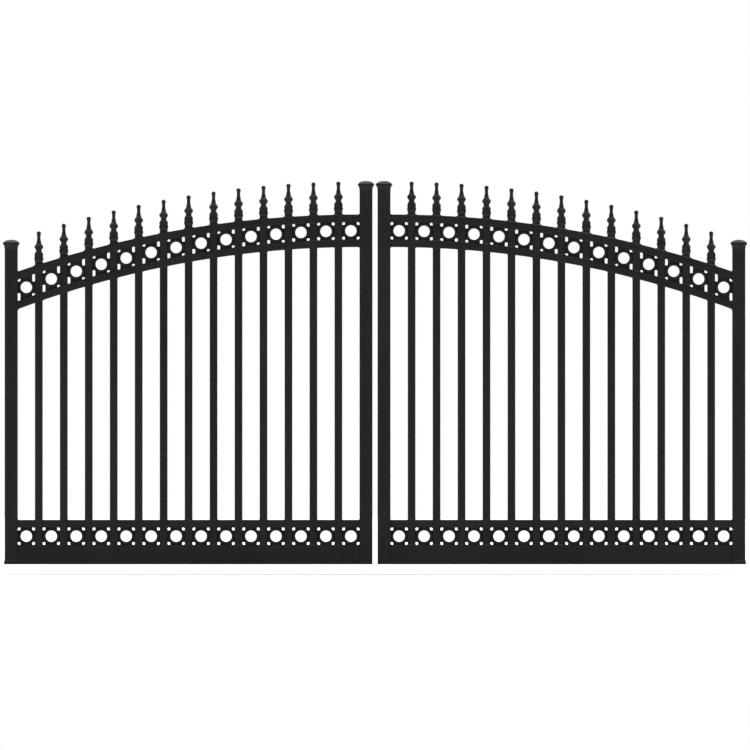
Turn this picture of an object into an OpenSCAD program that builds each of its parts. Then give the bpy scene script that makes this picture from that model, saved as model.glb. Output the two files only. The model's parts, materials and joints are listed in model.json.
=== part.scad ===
// Arched double driveway gate: two leaves of punched rails, square pickets and
// ring bands, hung on four hook plates that bolt to the faces of two piers.
//
// Millimetres, +Z up, +X from the left pier to the right, front towards -Y.
// The origin is the centre of the left lower hook plate's back face.
// Each leaf is drawn in its own frame: x = 0 at its hinge edge, x = leaf_w at
// its meeting edge, y = 0 at mid-depth and z = 0 at its underside.

/* [Gate] */
// Width over both leaves, hinge edge to hinge edge
overall_w = 3658; // [2800:1:4600]
// Gap between the two leaves where they meet
leaf_gap = 25; // [24:1:60]
// Ring bays in each leaf, one more than its pickets
bays = 14; // [10:1:18]

/* [Stiles] */
// Width and depth of the square stiles
stile_w = 64; // [50:1:90]
// Outside corner radius of the stiles
stile_corner = 4; // [2:0.5:10]
// Height of the hinge stile above the arch where they meet
hinge_stile_rise = 105; // [60:1:200]
// Height of the lock stile above the arch's peak
lock_stile_rise = 114; // [60:1:200]
// Height of the shoe around the foot of the hinge stile
shoe_h = 20; // [10:1:40]
// How far the shoe stands out from the hinge stile
shoe_proud = 3; // [1:0.5:6]

/* [Rails] */
// Depth of every rail, front to back
rail_depth = 50; // [44:1:64]
// Height of the bottom rail
bottom_rail_h = 96; // [60:1:140]
// Height of the rail above the lower rings
band_rail_h = 38; // [25:1:60]
// Thickness of both arched rails at the peak
arch_rail_mid = 38; // [25:1:60]
// Thickness of both arched rails at the hinge edge
arch_rail_end = 38; // [30:1:70]

/* [Arch] */
// Height of the arch's upper edge at its peak
arch_peak_h = 1728; // [1200:1:2400]
// Drop of the upper ring line from the peak to the hinge edge
arch_drop = 318; // [150:1:450]
// Distance of the peak from the leaf's meeting edge
peak_inset = 68; // [0:1:200]
// How much clear height the upper ring row gains from the peak to the hinge edge
ring_row_growth = 16; // [0:1:40]

/* [Pickets] */
// Width and depth of the square pickets
picket_w = 38; // [25:1:42]
// Outside corner radius of the pickets
picket_corner = 3; // [1:0.5:6]
// Height of a picket above the arch on its centre line
picket_stub = 14; // [10:1:40]
// Clearance round a picket in the punched rails
punch_clearance = 0.3; // [0.2:0.1:0.8]

/* [Rings] */
// Radial thickness of the rings
ring_wall = 14.6; // [8:0.2:25]
// Depth of the rings, front to back
ring_depth = 20; // [12:1:40]
// Chamfer on the four edges of a ring's section
ring_chamfer = 3; // [1:0.5:4]
// Width of the four collars that join a ring to the rails and uprights round it
collar_w = 58; // [30:1:70]
// Depth of the collars, front to back
collar_depth = 12; // [8:1:13]
// Clearance between a ring and the pieces that it is welded to
ring_seat = 0.2; // [0.2:0.1:0.5]
// Clearance between a collar and the pieces that it is welded to
collar_seat = 0.1; // [0.05:0.01:0.15]

/* [Finials] */
// Height of a finial from its seat on the picket
finial_h = 150; // [110:1:220]
// Radius of the ball at the tip
ball_r = 11; // [8:0.5:14]
// Radius of the slender neck
neck_r = 8; // [6:0.5:10]
// Radius of the knob and of the bulb below it
knob_r = 22; // [16:0.5:28]
// Radius of the waist between the knob and the bulb
waist_r = 13.5; // [10:0.5:16]
// How far the square socket stands out from the picket
socket_proud = 4; // [2:0.5:8]

/* [Caps] */
// Overhang of a stile cap on each side of its stile
cap_overhang = 9.5; // [4:0.5:9.5]
// Height of the cove under a cap's rim
cap_cove_h = 30; // [15:1:50]
// Height of a cap's dome above its rim
cap_dome_h = 22; // [10:1:40]

/* [Hinges] */
// Distance of the hinge axis from the leaf's hinge edge
axis_inset = 20; // [18:1:30]
// Distance of the hinge axis behind the hinge stile
axis_back = 24; // [22:1:40]
// Radius of the hook pins
pin_r = 9.5; // [7:0.1:11.5]
// Radial running clearance between a pin and its eye
pin_clearance = 0.05; // [0.02:0.01:0.08]
// Outside radius of an eye's barrel and of the boss below a pin
barrel_r = 17; // [15:0.5:18]
// Height of an eye's barrel
eye_h = 47; // [30:1:50]
// Gap between an eye and the boss that carries it
seat_gap = 0.3; // [0.2:0.1:0.6]
// Thickness of an eye's pad on the stile
eye_pad_t = 6; // [4:0.5:6]
// Distance of the hinge axis from the front of its hook plate
hook_reach = 30; // [26:1:50]
// Width of a hook plate
plate_w = 60; // [56:1:64]
// Height of a hook plate
plate_h = 150; // [140:1:200]
// Thickness of a hook plate
plate_t = 10; // [6:1:16]
// Radius of the bolt holes
bolt_hole_r = 6.5; // [4.5:0.5:7]
// Distance between bolt holes across a plate
bolt_across = 36; // [30:1:38]
// Distance between bolt holes up a plate
bolt_up = 110; // [106:1:112]
// Height of the lower hook plate's centre above the leaf's underside
lower_hinge_h = 250; // [200:1:400]
// Distance of the upper hook plate's centre below the hinge stile's top
upper_hinge_drop = 250; // [150:1:400]

/* [Hidden] */

// Leaf and bays
leaf_w = (overall_w - leaf_gap) / 2;
pickets = bays - 1;
bay_w = (leaf_w - 2 * stile_w - pickets * picket_w) / bays;
bay_pitch = bay_w + picket_w;
rail_span = leaf_w - 2 * stile_w;

// Rings fill their bays, and both ring rows are as high as a ring
ring_r = bay_w / 2 - ring_seat;
ring_row_h = 2 * (ring_r + ring_seat);
lower_ring_z = bottom_rail_h + ring_row_h / 2;
band_rail_z = bottom_rail_h + ring_row_h;

// The arch: five arcs with their peaks on one vertical line
peak_x = leaf_w - peak_inset;
ring_line_h = arch_peak_h - arch_rail_mid - ring_row_h / 2;
ring_line_r = arc_radius(arch_drop);
end_slope = asin(peak_x / ring_line_r);
end_row_half_h = (ring_row_h + ring_row_growth) / 2 / cos(end_slope);
end_half_h = end_row_half_h + arch_rail_end / cos(end_slope);
ring_line_end = ring_line_h - arch_drop;
row_top_h = ring_line_h + ring_row_h / 2;
row_top_r = arc_radius(row_top_h - ring_line_end - end_row_half_h);
row_floor_h = ring_line_h - ring_row_h / 2;
row_floor_r = arc_radius(row_floor_h - ring_line_end + end_row_half_h);
upper_edge_r = arc_radius(arch_peak_h - ring_line_end - end_half_h);
lower_edge_h = ring_line_h - ring_row_h / 2 - arch_rail_mid;
lower_edge_r = arc_radius(lower_edge_h - ring_line_end + end_half_h);

// Stile tops
hinge_stile_h = arc_z(stile_w, arch_peak_h, upper_edge_r) + hinge_stile_rise;
lock_stile_h = arch_peak_h + lock_stile_rise;

// Caps and finials
dome_end_angle = 80;
socket_h = finial_h / 6;
socket_rim_h = socket_h * 0.6;
socket_top_w = picket_w / 2 + socket_proud / 3;
ball_z = finial_h - ball_r;
ball_start_angle = -37;

// Hinges, in the leaf frame
axis_y = stile_w / 2 + axis_back;
boss_h = 30;
boss_top = -15;
pin_tip_chamfer = 3;
pin_proud = 6;
pin_h = seat_gap + eye_h + pin_proud;
arm_w = 26;
eye_pad_w = 48;
upper_hinge_h = hinge_stile_h - upper_hinge_drop;

// Where a leaf stands in the gate's frame
plate_x = stile_w / 2;
leaf_y = -(plate_t + hook_reach + axis_y);

// Fineness of round shapes
arch_fn = 720;
round_fn = 64;
corner_steps = 3;
curve_steps = 6;

// Radius of the arc that drops by this much between the peak and the hinge edge
function arc_radius(drop) = (peak_x * peak_x + drop * drop) / (2 * drop);

// Height at x of the arc with this peak height and radius
function arc_z(x, peak_h, r) = peak_h - r + sqrt(r * r - pow(x - peak_x, 2));

// Centre of picket i, and of bay i, along the leaf
function picket_x(i) = stile_w + (i + 1) * bay_pitch - picket_w / 2;
function bay_x(i) = stile_w + i * bay_pitch + bay_w / 2;

// Outline of a square bar with rounded corners
function bar_outline(w, r) = [
    for (corner = [0:3], step = [0:corner_steps])
        let (a = 90 * (corner + step / corner_steps))
        [
            (corner == 0 || corner == 3 ? 1 : -1) * (w / 2 - r) + r * cos(a),
            (corner < 2 ? 1 : -1) * (w / 2 - r) + r * sin(a)
        ]
];

// Smooth run of points from one [radius, height] station to the next
function turned(from, to) = [
    for (step = [1:curve_steps])
        let (t = (1 - cos(180 * step / curve_steps)) / 2)
        [from.x + (to.x - from.x) * t, from.y + (to.y - from.y) * step / curve_steps]
];

// Both sides of a half outline of [half width, height] points
function both_sides(half) = concat(
    half,
    [for (i = [len(half) - 1:-1:0]) [-half[i].x, half[i].y]]
);

// Half outline of a stile cap: a cove up to the rim, then a dome
cap_half = concat(
    [
        for (step = [0:curve_steps])
            let (a = 90 * step / curve_steps)
            [stile_w / 2 + cap_overhang * (1 - cos(a)), cap_cove_h * sin(a)]
    ],
    [
        for (step = [1:curve_steps])
            let (a = dome_end_angle * step / curve_steps)
            [(stile_w / 2 + cap_overhang) * cos(a), cap_cove_h + cap_dome_h * sin(a)]
    ]
);

// Half outline of a finial's square socket
socket_half = [
    [picket_w / 2, 0],
    [picket_w / 2 + socket_proud * 0.6, socket_rim_h * 0.5],
    [picket_w / 2 + socket_proud, socket_rim_h],
    [socket_top_w, socket_h],
];

// Turning points of a finial's round stem, as [radius, height] stations
stem_stations = [
    [knob_r - 1.5, socket_h - 1],
    [knob_r - 0.5, finial_h * 0.23],
    [waist_r, finial_h * 0.36],
    [knob_r, finial_h * 0.48],
    [neck_r * 1.4, finial_h * 0.63],
    [neck_r, finial_h * 0.78],
    [ball_r * cos(ball_start_angle), ball_z + ball_r * sin(ball_start_angle)],
];

// Outline of the stem, from its foot up to the ball's pole
stem_outline = concat(
    [[0, socket_h - 1], stem_stations[0]],
    [
        for (i = [0:len(stem_stations) - 2])
            each turned(stem_stations[i], stem_stations[i + 1])
    ],
    [
        for (step = [1:curve_steps])
            let (a = ball_start_angle + (90 - ball_start_angle) * step / curve_steps)
            [step == curve_steps ? 0 : ball_r * cos(a), ball_z + ball_r * sin(a)]
    ]
);

// Section of a ring, with its four edges chamfered
ring_section = let (
    inner = ring_r - ring_wall,
    half = ring_depth / 2,
    c = ring_chamfer
) [
    [inner + c, -half], [ring_r - c, -half],
    [ring_r, -half + c], [ring_r, half - c],
    [ring_r - c, half], [inner + c, half],
    [inner, half - c], [inner, -half + c],
];

// ---- Placing ----

// Puts a piece drawn in the leaf frame on the left leaf
module on_left() {
    translate([-plate_x, leaf_y, -lower_hinge_h]) children();
}

// Puts a piece drawn in the leaf frame on the right leaf
module on_right() {
    translate([overall_w - plate_x, leaf_y, -lower_hinge_h])
        mirror([1, 0, 0]) children();
}

// Puts a piece drawn about a hook plate's centre at the lower hinge
module at_lower_hinge() {
    translate([0, axis_y, lower_hinge_h]) children();
}

// The same at the upper hinge, turned over so that a leaf can't be lifted off
module at_upper_hinge() {
    translate([0, axis_y, upper_hinge_h]) mirror([0, 0, 1]) children();
}

// Stands an outline drawn in x and z upright, with its depth along y
module upright(depth) {
    rotate([90, 0, 0]) linear_extrude(depth, center = true) children();
}

// Square solid whose four sides all follow one half outline
module four_sided(half, w) {
    intersection() {
        upright(w) polygon(both_sides(half));
        rotate([0, 0, 90]) upright(w) polygon(both_sides(half));
    }
}

// Disc below an arc with this peak height and radius, as a flat shape
module arch_disc(peak_h, r) {
    translate([peak_x, peak_h - r]) circle(r, $fn = arch_fn);
}

// One square bar standing at x, from height z0 to z1
module standing_bar(x, w, r, z0, z1) {
    translate([x, 0, z0]) linear_extrude(z1 - z0) polygon(bar_outline(w, r));
}

// The square holes that all the pickets of a leaf pass through
module picket_punches(z0, z1) {
    for (i = [0:pickets - 1])
        standing_bar(
            picket_x(i), picket_w + 2 * punch_clearance,
            picket_corner + punch_clearance, z0, z1
        );
}

// ---- Hanging ----

// Wall plate with four bolt holes, a forged arm and boss, and the upright pin
module hook_plate() {
    color("#1c1c1f") difference() {
        union() {
            translate([plate_x - plate_w / 2, hook_reach, -plate_h / 2])
                cube([plate_w, plate_t, plate_h]);
            translate([axis_inset - arm_w / 2, 0, boss_top - boss_h])
                cube([arm_w, hook_reach + plate_t / 2, boss_h]);
            translate([axis_inset, 0, boss_top - boss_h])
                cylinder(h = boss_h, r = barrel_r, $fn = round_fn);
            translate([axis_inset, 0, boss_top - boss_h / 2])
                cylinder(h = boss_h / 2 + pin_h - pin_tip_chamfer, r = pin_r, $fn = round_fn);
            translate([axis_inset, 0, boss_top + pin_h - pin_tip_chamfer])
                cylinder(
                    h = pin_tip_chamfer, r1 = pin_r,
                    r2 = pin_r - pin_tip_chamfer, $fn = round_fn
                );
        }
        for (dx = [-1, 1], dz = [-1, 1])
            translate([plate_x + dx * bolt_across / 2, hook_reach, dz * bolt_up / 2])
                rotate([-90, 0, 0])
                    translate([0, 0, -1])
                        cylinder(h = plate_t + 2, r = bolt_hole_r, $fn = round_fn);
    }
}

// Barrel that turns on a hook's pin, with the neck and pad that carry it
module hinge_eye() {
    color("#1c1c1f") translate([0, 0, boss_top + seat_gap]) difference() {
        union() {
            translate([axis_inset, 0, 0])
                cylinder(h = eye_h, r = barrel_r, $fn = round_fn);
            translate([axis_inset - arm_w / 2, -axis_back + eye_pad_t / 2, 0])
                cube([arm_w, axis_back - eye_pad_t / 2, eye_h]);
            translate([stile_w / 2 - eye_pad_w / 2, -axis_back, 0])
                cube([eye_pad_w, eye_pad_t, eye_h]);
        }
        translate([axis_inset, 0, -1])
            cylinder(h = eye_h + 2, r = pin_r + pin_clearance, $fn = round_fn);
    }
}

// ---- Stiles ----

// Upright at the hinge edge, standing on its shoe
module hinge_stile() {
    color("#141416")
        standing_bar(stile_w / 2, stile_w, stile_corner, shoe_h, hinge_stile_h);
}

// Taller upright at the meeting edge
module lock_stile() {
    color("#141416")
        standing_bar(leaf_w - stile_w / 2, stile_w, stile_corner, 0, lock_stile_h);
}

// Coved and domed cap
module stile_cap() {
    color("#18181a") four_sided(cap_half, stile_w + 2 * cap_overhang + 2);
}

module hinge_stile_cap() {
    translate([stile_w / 2, 0, hinge_stile_h]) stile_cap();
}

module lock_stile_cap() {
    translate([leaf_w - stile_w / 2, 0, lock_stile_h]) stile_cap();
}

// Shoe under the hinge stile, flush on the side where the bottom rail meets it
module hinge_stile_shoe() {
    color("#18181a") translate([-shoe_proud, -stile_w / 2 - shoe_proud, 0])
        cube([stile_w + shoe_proud, stile_w + 2 * shoe_proud, shoe_h]);
}

// ---- Rails ----

// Deep rail along the bottom, which the pickets stand on
module bottom_rail() {
    color("#141416") translate([stile_w, -rail_depth / 2, 0])
        cube([rail_span, rail_depth, bottom_rail_h]);
}

// Punched rail above the lower rings
module band_rail() {
    color("#141416") difference() {
        translate([stile_w, -rail_depth / 2, band_rail_z])
            cube([rail_span, rail_depth, band_rail_h]);
        picket_punches(band_rail_z - 1, band_rail_z + band_rail_h + 1);
    }
}

// Punched rail below the arch's rings
module lower_arch_rail() {
    color("#141416") difference() {
        upright(rail_depth) difference() {
            intersection() {
                translate([stile_w, 0]) square([rail_span, arch_peak_h]);
                arch_disc(row_floor_h, row_floor_r);
            }
            arch_disc(lower_edge_h, lower_edge_r);
        }
        picket_punches(0, arch_peak_h);
    }
}

// Punched rail along the top of the arch
module upper_arch_rail() {
    color("#141416") difference() {
        upright(rail_depth) difference() {
            intersection() {
                translate([stile_w, 0]) square([rail_span, arch_peak_h + 1]);
                arch_disc(arch_peak_h, upper_edge_r);
            }
            arch_disc(row_top_h, row_top_r);
        }
        picket_punches(0, arch_peak_h + 1);
    }
}

// ---- Infill ----

// Height of the top of picket i
function picket_top(i) = arc_z(picket_x(i), arch_peak_h, upper_edge_r) + picket_stub;

// Square pickets, from the bottom rail up through the three punched rails
module pickets() {
    color("#141416") for (i = [0:pickets - 1])
        standing_bar(picket_x(i), picket_w, picket_corner, bottom_rail_h, picket_top(i));
}

// Cast finial: a square socket, a turned stem and a ball
module finial() {
    four_sided(socket_half, picket_w + 2 * socket_proud + 2);
    rotate_extrude($fn = round_fn) polygon(stem_outline);
}

module finials() {
    color("#1a1a1c") for (i = [0:pickets - 1])
        translate([picket_x(i), 0, picket_top(i)]) finial();
}

// Ring that fills one bay, its axis front to back
module ring(x, z) {
    translate([x, 0, z]) rotate([90, 0, 0])
        rotate_extrude($fn = round_fn) polygon(ring_section);
}

// Collars of the ring at x, z: a cross as far as the row's flat shape reaches
module ring_collars(x, z) {
    upright(collar_depth) difference() {
        intersection() {
            translate([x, z]) union() {
                square([collar_w, 2 * bay_pitch], center = true);
                square([bay_w - 2 * collar_seat, collar_w], center = true);
            }
            children();
        }
        translate([x, z]) circle(ring_r - ring_wall / 2, $fn = round_fn);
    }
}

module lower_rings() {
    color("#18181a") for (i = [0:bays - 1]) union() {
        ring(bay_x(i), lower_ring_z);
        ring_collars(bay_x(i), lower_ring_z)
            translate([0, bottom_rail_h + collar_seat])
                square([leaf_w, ring_row_h - 2 * collar_seat]);
    }
}

module arch_rings() {
    color("#18181a") for (i = [0:bays - 1])
        let (z = arc_z(bay_x(i), ring_line_h, ring_line_r))
        union() {
            ring(bay_x(i), z);
            ring_collars(bay_x(i), z) difference() {
                arch_disc(row_top_h - collar_seat, row_top_r - collar_seat);
                arch_disc(row_floor_h + collar_seat, row_floor_r + collar_seat);
            }
        }
}

on_left() at_lower_hinge() hook_plate();  // left_lower_hook_plate
on_left() at_upper_hinge() hook_plate();  // left_upper_hook_plate
on_right() at_lower_hinge() hook_plate();  // right_lower_hook_plate
on_right() at_upper_hinge() hook_plate();  // right_upper_hook_plate
on_left() at_lower_hinge() hinge_eye();  // left_lower_hinge_eye
on_left() at_upper_hinge() hinge_eye();  // left_upper_hinge_eye
on_right() at_lower_hinge() hinge_eye();  // right_lower_hinge_eye
on_right() at_upper_hinge() hinge_eye();  // right_upper_hinge_eye
on_left() hinge_stile();  // left_hinge_stile
on_right() hinge_stile();  // right_hinge_stile
on_left() lock_stile();  // left_lock_stile
on_right() lock_stile();  // right_lock_stile
on_left() hinge_stile_cap();  // left_hinge_stile_cap
on_right() hinge_stile_cap();  // right_hinge_stile_cap
on_left() lock_stile_cap();  // left_lock_stile_cap
on_right() lock_stile_cap();  // right_lock_stile_cap
on_left() hinge_stile_shoe();  // left_hinge_stile_shoe
on_right() hinge_stile_shoe();  // right_hinge_stile_shoe
on_left() bottom_rail();  // left_bottom_rail
on_right() bottom_rail();  // right_bottom_rail
on_left() band_rail();  // left_band_rail
on_right() band_rail();  // right_band_rail
on_left() lower_arch_rail();  // left_lower_arch_rail
on_right() lower_arch_rail();  // right_lower_arch_rail
on_left() upper_arch_rail();  // left_upper_arch_rail
on_right() upper_arch_rail();  // right_upper_arch_rail
on_left() pickets();  // left_pickets
on_right() pickets();  // right_pickets
on_left() finials();  // left_finials
on_right() finials();  // right_finials
on_left() lower_rings();  // left_lower_rings
on_right() lower_rings();  // right_lower_rings
on_left() arch_rings();  // left_arch_rings
on_right() arch_rings();  // right_arch_rings
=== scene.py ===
"""Looks of an arched wrought iron driveway gate, built around its fixed metal frame.

The file is laid out as an add-on and run as a script. Each operator makes one piece or one group of like
pieces from the places and sizes that the frame holds: rounded stiles and rails, square pickets, rings with
their collars, turned finials, coved caps, hinges with their bolts, and weld beads. Lengths are in metres.
"""

import json
import math

import bmesh
import bpy
import numpy as np
from bpy.props import FloatProperty, FloatVectorProperty, IntProperty, PointerProperty
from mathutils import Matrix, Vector


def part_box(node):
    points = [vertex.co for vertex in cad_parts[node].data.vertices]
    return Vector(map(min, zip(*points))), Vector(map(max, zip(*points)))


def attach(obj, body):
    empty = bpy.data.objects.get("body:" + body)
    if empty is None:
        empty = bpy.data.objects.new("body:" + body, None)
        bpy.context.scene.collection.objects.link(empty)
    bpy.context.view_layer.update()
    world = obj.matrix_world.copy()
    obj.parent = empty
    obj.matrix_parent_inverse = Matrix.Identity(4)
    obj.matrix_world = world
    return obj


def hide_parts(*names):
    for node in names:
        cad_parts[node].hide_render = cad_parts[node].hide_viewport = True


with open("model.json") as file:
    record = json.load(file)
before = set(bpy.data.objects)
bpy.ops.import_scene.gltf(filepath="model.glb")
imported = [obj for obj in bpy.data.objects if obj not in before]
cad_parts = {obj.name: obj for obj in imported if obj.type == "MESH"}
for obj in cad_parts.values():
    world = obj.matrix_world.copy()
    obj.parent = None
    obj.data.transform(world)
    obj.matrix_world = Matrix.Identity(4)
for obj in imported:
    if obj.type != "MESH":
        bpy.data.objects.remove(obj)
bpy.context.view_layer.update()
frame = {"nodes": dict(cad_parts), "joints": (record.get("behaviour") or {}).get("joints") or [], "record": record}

bl_info = {
    "name": "Wrought Iron Gate Looks",
    "version": (1, 0, 0),
    "blender": (4, 5, 0),
    "location": "View3D > Sidebar > Gate",
    "description": "Dresses the metal frame of an arched double gate with its finished pieces and paint",
    "category": "Object",
}

SIDES = ("left", "right")
STILES = ("hinge_stile", "lock_stile")
RAILS = ("bottom_rail", "band_rail", "lower_arch_rail", "upper_arch_rail")
ROWS = {"lower_rings": ("bottom_rail", "band_rail"), "arch_rings": ("lower_arch_rail", "upper_arch_rail")}
LEVELS = ("lower", "upper")
HOOKS_BODY = "hook_plates"
MM = 0.001
# How deep the middle of a weld bead lies in the metal, as a share of the bead's radius
BEAD_SUNK = 0.3


# Settings that a user would change


def sized(name, description, millimetres, low, high):
    """A length setting, given in millimetres and kept in metres."""
    return FloatProperty(
        name=name, description=description, unit="LENGTH",
        default=millimetres * MM, min=low * MM, max=high * MM,
    )


def coloured(name, description, red, green, blue):
    """A colour setting."""
    return FloatVectorProperty(
        name=name, description=description, subtype="COLOR",
        default=(red, green, blue), min=0, max=1,
    )


class GateSizes(bpy.types.PropertyGroup):
    """Sizes of the rounding, collars, welds and bolts that are added to the frame."""

    stile_corner: sized("Stile corner", "Radius of a stile's long edges", 4, 1, 12)
    rail_corner: sized("Rail corner", "Radius of a rail's long edges", 2.5, 0.5, 8)
    picket_corner: sized("Picket corner", "Radius of a picket's long edges", 3, 0.5, 8)
    ring_corner: sized("Ring corner", "Radius of the edges of a ring's bar", 2.6, 0.5, 6)
    collar_flare: sized("Collar flare", "How much a ring's collar swells where it is welded on", 1.2, 0, 5)
    collar_edge: sized("Collar edge", "Rounding of a collar's front and back edges", 1.5, 0.5, 3)
    cap_corner: sized("Cap corner", "Radius of the upright corners of a stile cap", 2.2, 0.5, 6)
    socket_corner: sized("Socket corner", "Radius of the upright corners of a finial's socket", 3, 0.5, 6)
    shoe_edge: sized("Shoe edge", "Rounding of the edges of the hinge stiles' shoes", 3, 0.5, 6)
    forged_edge: sized("Forged edge", "Rounding of the edges of the hinge pieces", 0.9, 0.2, 2)
    bead: sized("Weld bead", "Radius of the weld beads", 5, 2, 8)
    ripple: sized("Weld ripple", "Distance from one ripple of a weld bead to the next", 6, 3, 15)
    corner_fillet: sized("Corner fillet", "Reach of the fillet between a stile and the arch", 14, 4, 40)
    bolt_flats: sized("Bolt flats", "Width of a bolt's head across its flats", 19, 10, 30)
    bolt_head: sized("Bolt head", "Height of a bolt's head", 7.5, 4, 15)
    washer_across: sized("Washer", "Width of the washer under a bolt's head", 24, 14, 40)
    washer_thick: sized("Washer thickness", "Thickness of the washer under a bolt's head", 2.5, 1, 5)
    seed: IntProperty(name="Seed", description="Seed of the small differences between welds", default=7)


class GateColours(bpy.types.PropertyGroup):
    """Colours of the paint, the metal under it and the floor."""

    enamel: coloured("Enamel", "Black satin enamel", 0.006, 0.006, 0.0063)
    faded_enamel: coloured("Faded enamel", "The enamel where weather has dulled it", 0.0105, 0.0105, 0.0108)
    undercoat: coloured("Undercoat", "Primer that shows where the paint is thin", 0.05, 0.036, 0.03)
    dust: coloured("Dust", "Dust that lies on what faces up", 0.13, 0.12, 0.105)
    steel: coloured("Steel", "Bare steel where the hinges rub", 0.36, 0.34, 0.32)
    grease: coloured("Grease", "Old grease round the hinge pins", 0.05, 0.032, 0.014)
    floor: coloured("Floor", "Plain pale floor", 0.88, 0.88, 0.88)


class GateStage(bpy.types.PropertyGroup):
    """The camera's framing and the floor."""

    view_width: sized("View width", "Width of what the camera sees at the gate", 3705, 1000, 20000)
    eye_height: sized("Eye height", "Height of the camera over the underside of the leaves", 935, 0, 3000)
    lens: FloatProperty(
        name="Lens", description="Focal length in millimetres, long so that the view is almost parallel",
        default=1000, min=20, max=2000,
    )
    ground_gap: sized("Ground gap", "Clear height between the floor and the leaves", 50, 0, 300)
    floor_radius: sized("Floor radius", "Radius of the floor", 40000, 5000, 100000)


# What the frame says


def nodes_of(*names):
    """Pairs of a side and the full name of its node, for both sides and every name."""
    return [(side, f"{side}_{name}") for side in SIDES for name in names]


def corners_of(node):
    """The corners of a frame node's mesh, one row each."""
    mesh = frame["nodes"][node].data
    flat = np.empty(len(mesh.vertices) * 3)
    mesh.vertices.foreach_get("co", flat)
    return flat.reshape(-1, 3)


def box_of(corners):
    """Lowest and highest corner of some corners."""
    return Vector(corners.min(0)), Vector(corners.max(0))


def bars_of(node, clear=35 * MM):
    """The separate bars, rings or castings of a node, from left to right, with clear space between them."""
    corners = corners_of(node)
    corners = corners[corners[:, 0].argsort()]
    breaks = np.nonzero(np.diff(corners[:, 0]) > clear)[0] + 1
    return np.split(corners, breaks)


def fitted_circle(corners):
    """Centre x, centre z and radius of the circle that lies closest to some corners, seen from the front."""
    x, z = corners[:, 0], corners[:, 2]
    sums = np.column_stack((x, z, np.ones_like(x)))
    a, b, c = np.linalg.lstsq(sums, -(x * x + z * z), rcond=None)[0]
    return -a / 2, -b / 2, math.sqrt(a * a / 4 + b * b / 4 - c)


def height_on(circle):
    """A function that gives the height of the upper half of a circle at any x."""
    centre_x, centre_z, radius = circle
    return lambda x: centre_z + math.sqrt(radius**2 - (x - centre_x) ** 2)


def rail_faces(node):
    """Two functions of x: the height of a rail's underside and of its top."""
    low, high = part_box(node)
    if "arch" not in node:
        return (lambda x: low.z), (lambda x: high.z)
    corners = corners_of(node)
    x, z = corners[:, 0], corners[:, 2]
    above = z > np.polyval(np.polyfit(x, z, 4), x)
    return height_on(fitted_circle(corners[~above])), height_on(fitted_circle(corners[above]))


def levels_of(corners):
    """The heights of an upright casting from the bottom up, each with its half width and greatest reach."""
    low, high = box_of(corners)
    middle = (low + high) / 2
    aside = np.abs(corners[:, 0] - middle.x)
    away = np.hypot(corners[:, 0] - middle.x, corners[:, 1] - middle.y)
    rounded = np.round(corners[:, 2], 5)
    levels = []
    for height in np.unique(rounded):
        here = rounded == height
        height = float(corners[here, 2].mean())
        levels.append((height, float(aside[here].max()), float(away[here].max())))
    return levels


def measured_ring(corners, proud_from=0.65):
    """A ring's centre, outer radius and hole radius, taken where it stands proud of its collars."""
    low, high = box_of(corners)
    from_middle = np.abs(corners[:, 1] - (low.y + high.y) / 2)
    proud = corners[from_middle > proud_from * from_middle.max()]
    low, high = box_of(proud)
    centre = (low + high) / 2
    distances = np.hypot(proud[:, 0] - centre.x, proud[:, 2] - centre.z)
    return centre, float(distances.max()), float(distances.min())


def measured_collars(corners, clear=0.03 * MM):
    """Half the width and half the depth of the collars round a ring."""
    centre, radius, _ = measured_ring(corners)
    offsets = np.abs(corners - np.array(centre))
    beside = offsets[offsets[:, 0] > radius + clear]
    return float(beside[:, 2].max()), float(beside[:, 1].max())


# Shapes


def arc(centre, radius, start, end, steps):
    """Points along an arc in a plane, both ends included. Angles are in degrees."""
    turns = [math.radians(start + (end - start) * step / steps) for step in range(steps + 1)]
    return [(centre[0] + radius * math.cos(a), centre[1] + radius * math.sin(a)) for a in turns]


def rounded_outline(half_width, half_depth, corner, steps=3):
    """Points round a rectangle with rounded corners."""
    outline = []
    for quarter, (side, end) in enumerate(((1, 1), (-1, 1), (-1, -1), (1, -1))):
        centre = (side * (half_width - corner), end * (half_depth - corner))
        outline += arc(centre, corner, 90 * quarter, 90 * quarter + 90, steps)
    return outline


def level_square(middle, z, half, corner, steps=3):
    """A level square with rounded corners, round an upright line."""
    return [(middle.x + x, middle.y + y, z) for x, y in rounded_outline(half, half, corner, steps)]


def rail_section(x, front, back, under, over, corner):
    """A rail's rounded section in the upright plane at x."""
    outline = rounded_outline((back - front) / 2, (over - under) / 2, corner)
    return [(x, (front + back) / 2 + y, (under + over) / 2 + z) for y, z in outline]


def make_piece(name, shape, finish):
    """An object made from a bmesh, with its faces turned outwards."""
    bmesh.ops.recalc_face_normals(shape, faces=shape.faces)
    mesh = bpy.data.meshes.new(name)
    shape.to_mesh(mesh)
    shape.free()
    mesh.materials.append(finish)
    piece = bpy.data.objects.new(name, mesh)
    bpy.context.scene.collection.objects.link(piece)
    return piece


def settle(piece, sharp=40):
    """Shades a piece so that flat faces stay flat beside rounded edges, and applies its modifiers."""
    smooth = piece.modifiers.new("flat faces", "WEIGHTED_NORMAL")
    smooth.keep_sharp = True
    for polygon in piece.data.polygons:
        polygon.use_smooth = True
    piece.data.set_sharp_from_angle(angle=math.radians(sharp))
    depsgraph = bpy.context.evaluated_depsgraph_get()
    settled = bpy.data.meshes.new_from_object(piece.evaluated_get(depsgraph))
    settled.name = piece.name
    piece.modifiers.clear()
    piece.data = settled
    return piece


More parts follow.
